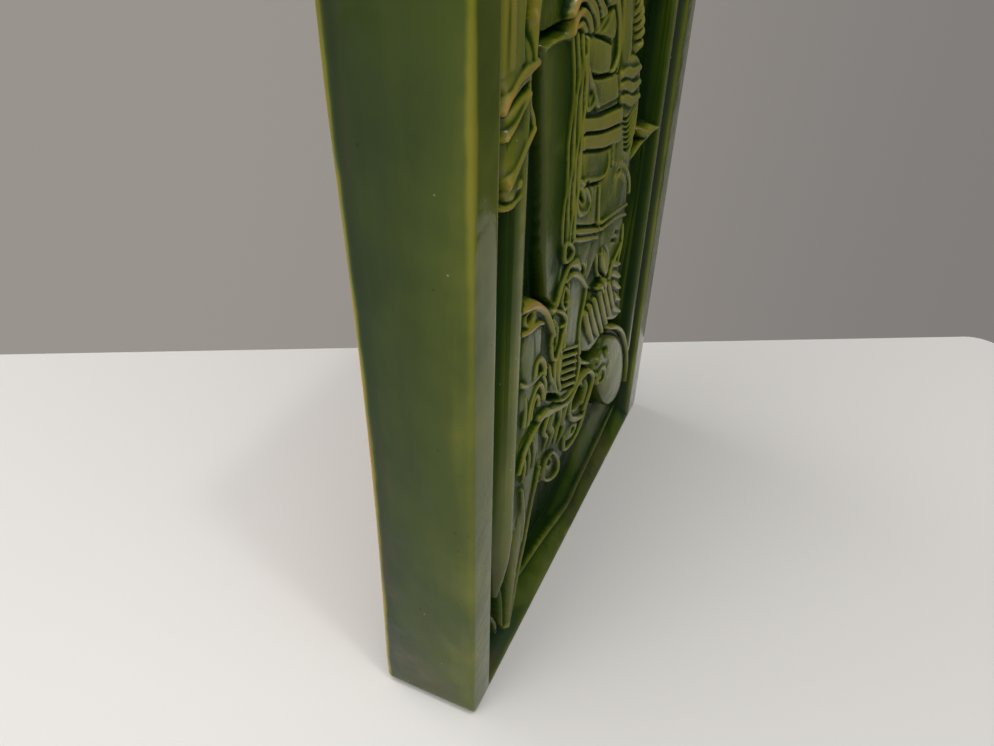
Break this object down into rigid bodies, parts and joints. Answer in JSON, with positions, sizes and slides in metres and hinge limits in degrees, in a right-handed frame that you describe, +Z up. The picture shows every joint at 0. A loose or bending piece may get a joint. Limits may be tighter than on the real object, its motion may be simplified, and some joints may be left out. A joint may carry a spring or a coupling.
{
  "type": "relief wall tile",
  "caption": "Upright green-glazed faience wall tile with a raised frame around a moulded relief of a knight standing on a dragon between columns under an arch.",
  "frame": {"origin": "middle of the underside's bounding box", "axes": "+Z up the tile, -Y out of the decorated face, +X to the right for somebody facing it"},
  "size_m": [0.134, 0.0242, 0.208],
  "materials": {
    "green_glaze": "thick glossy translucent olive-green glaze, yellower where it is thin and almost black where it pools; bare clay on the back"
  },
  "bodies": {
    "root": {"tile": "green_glaze"}
  },
  "joints": []
}
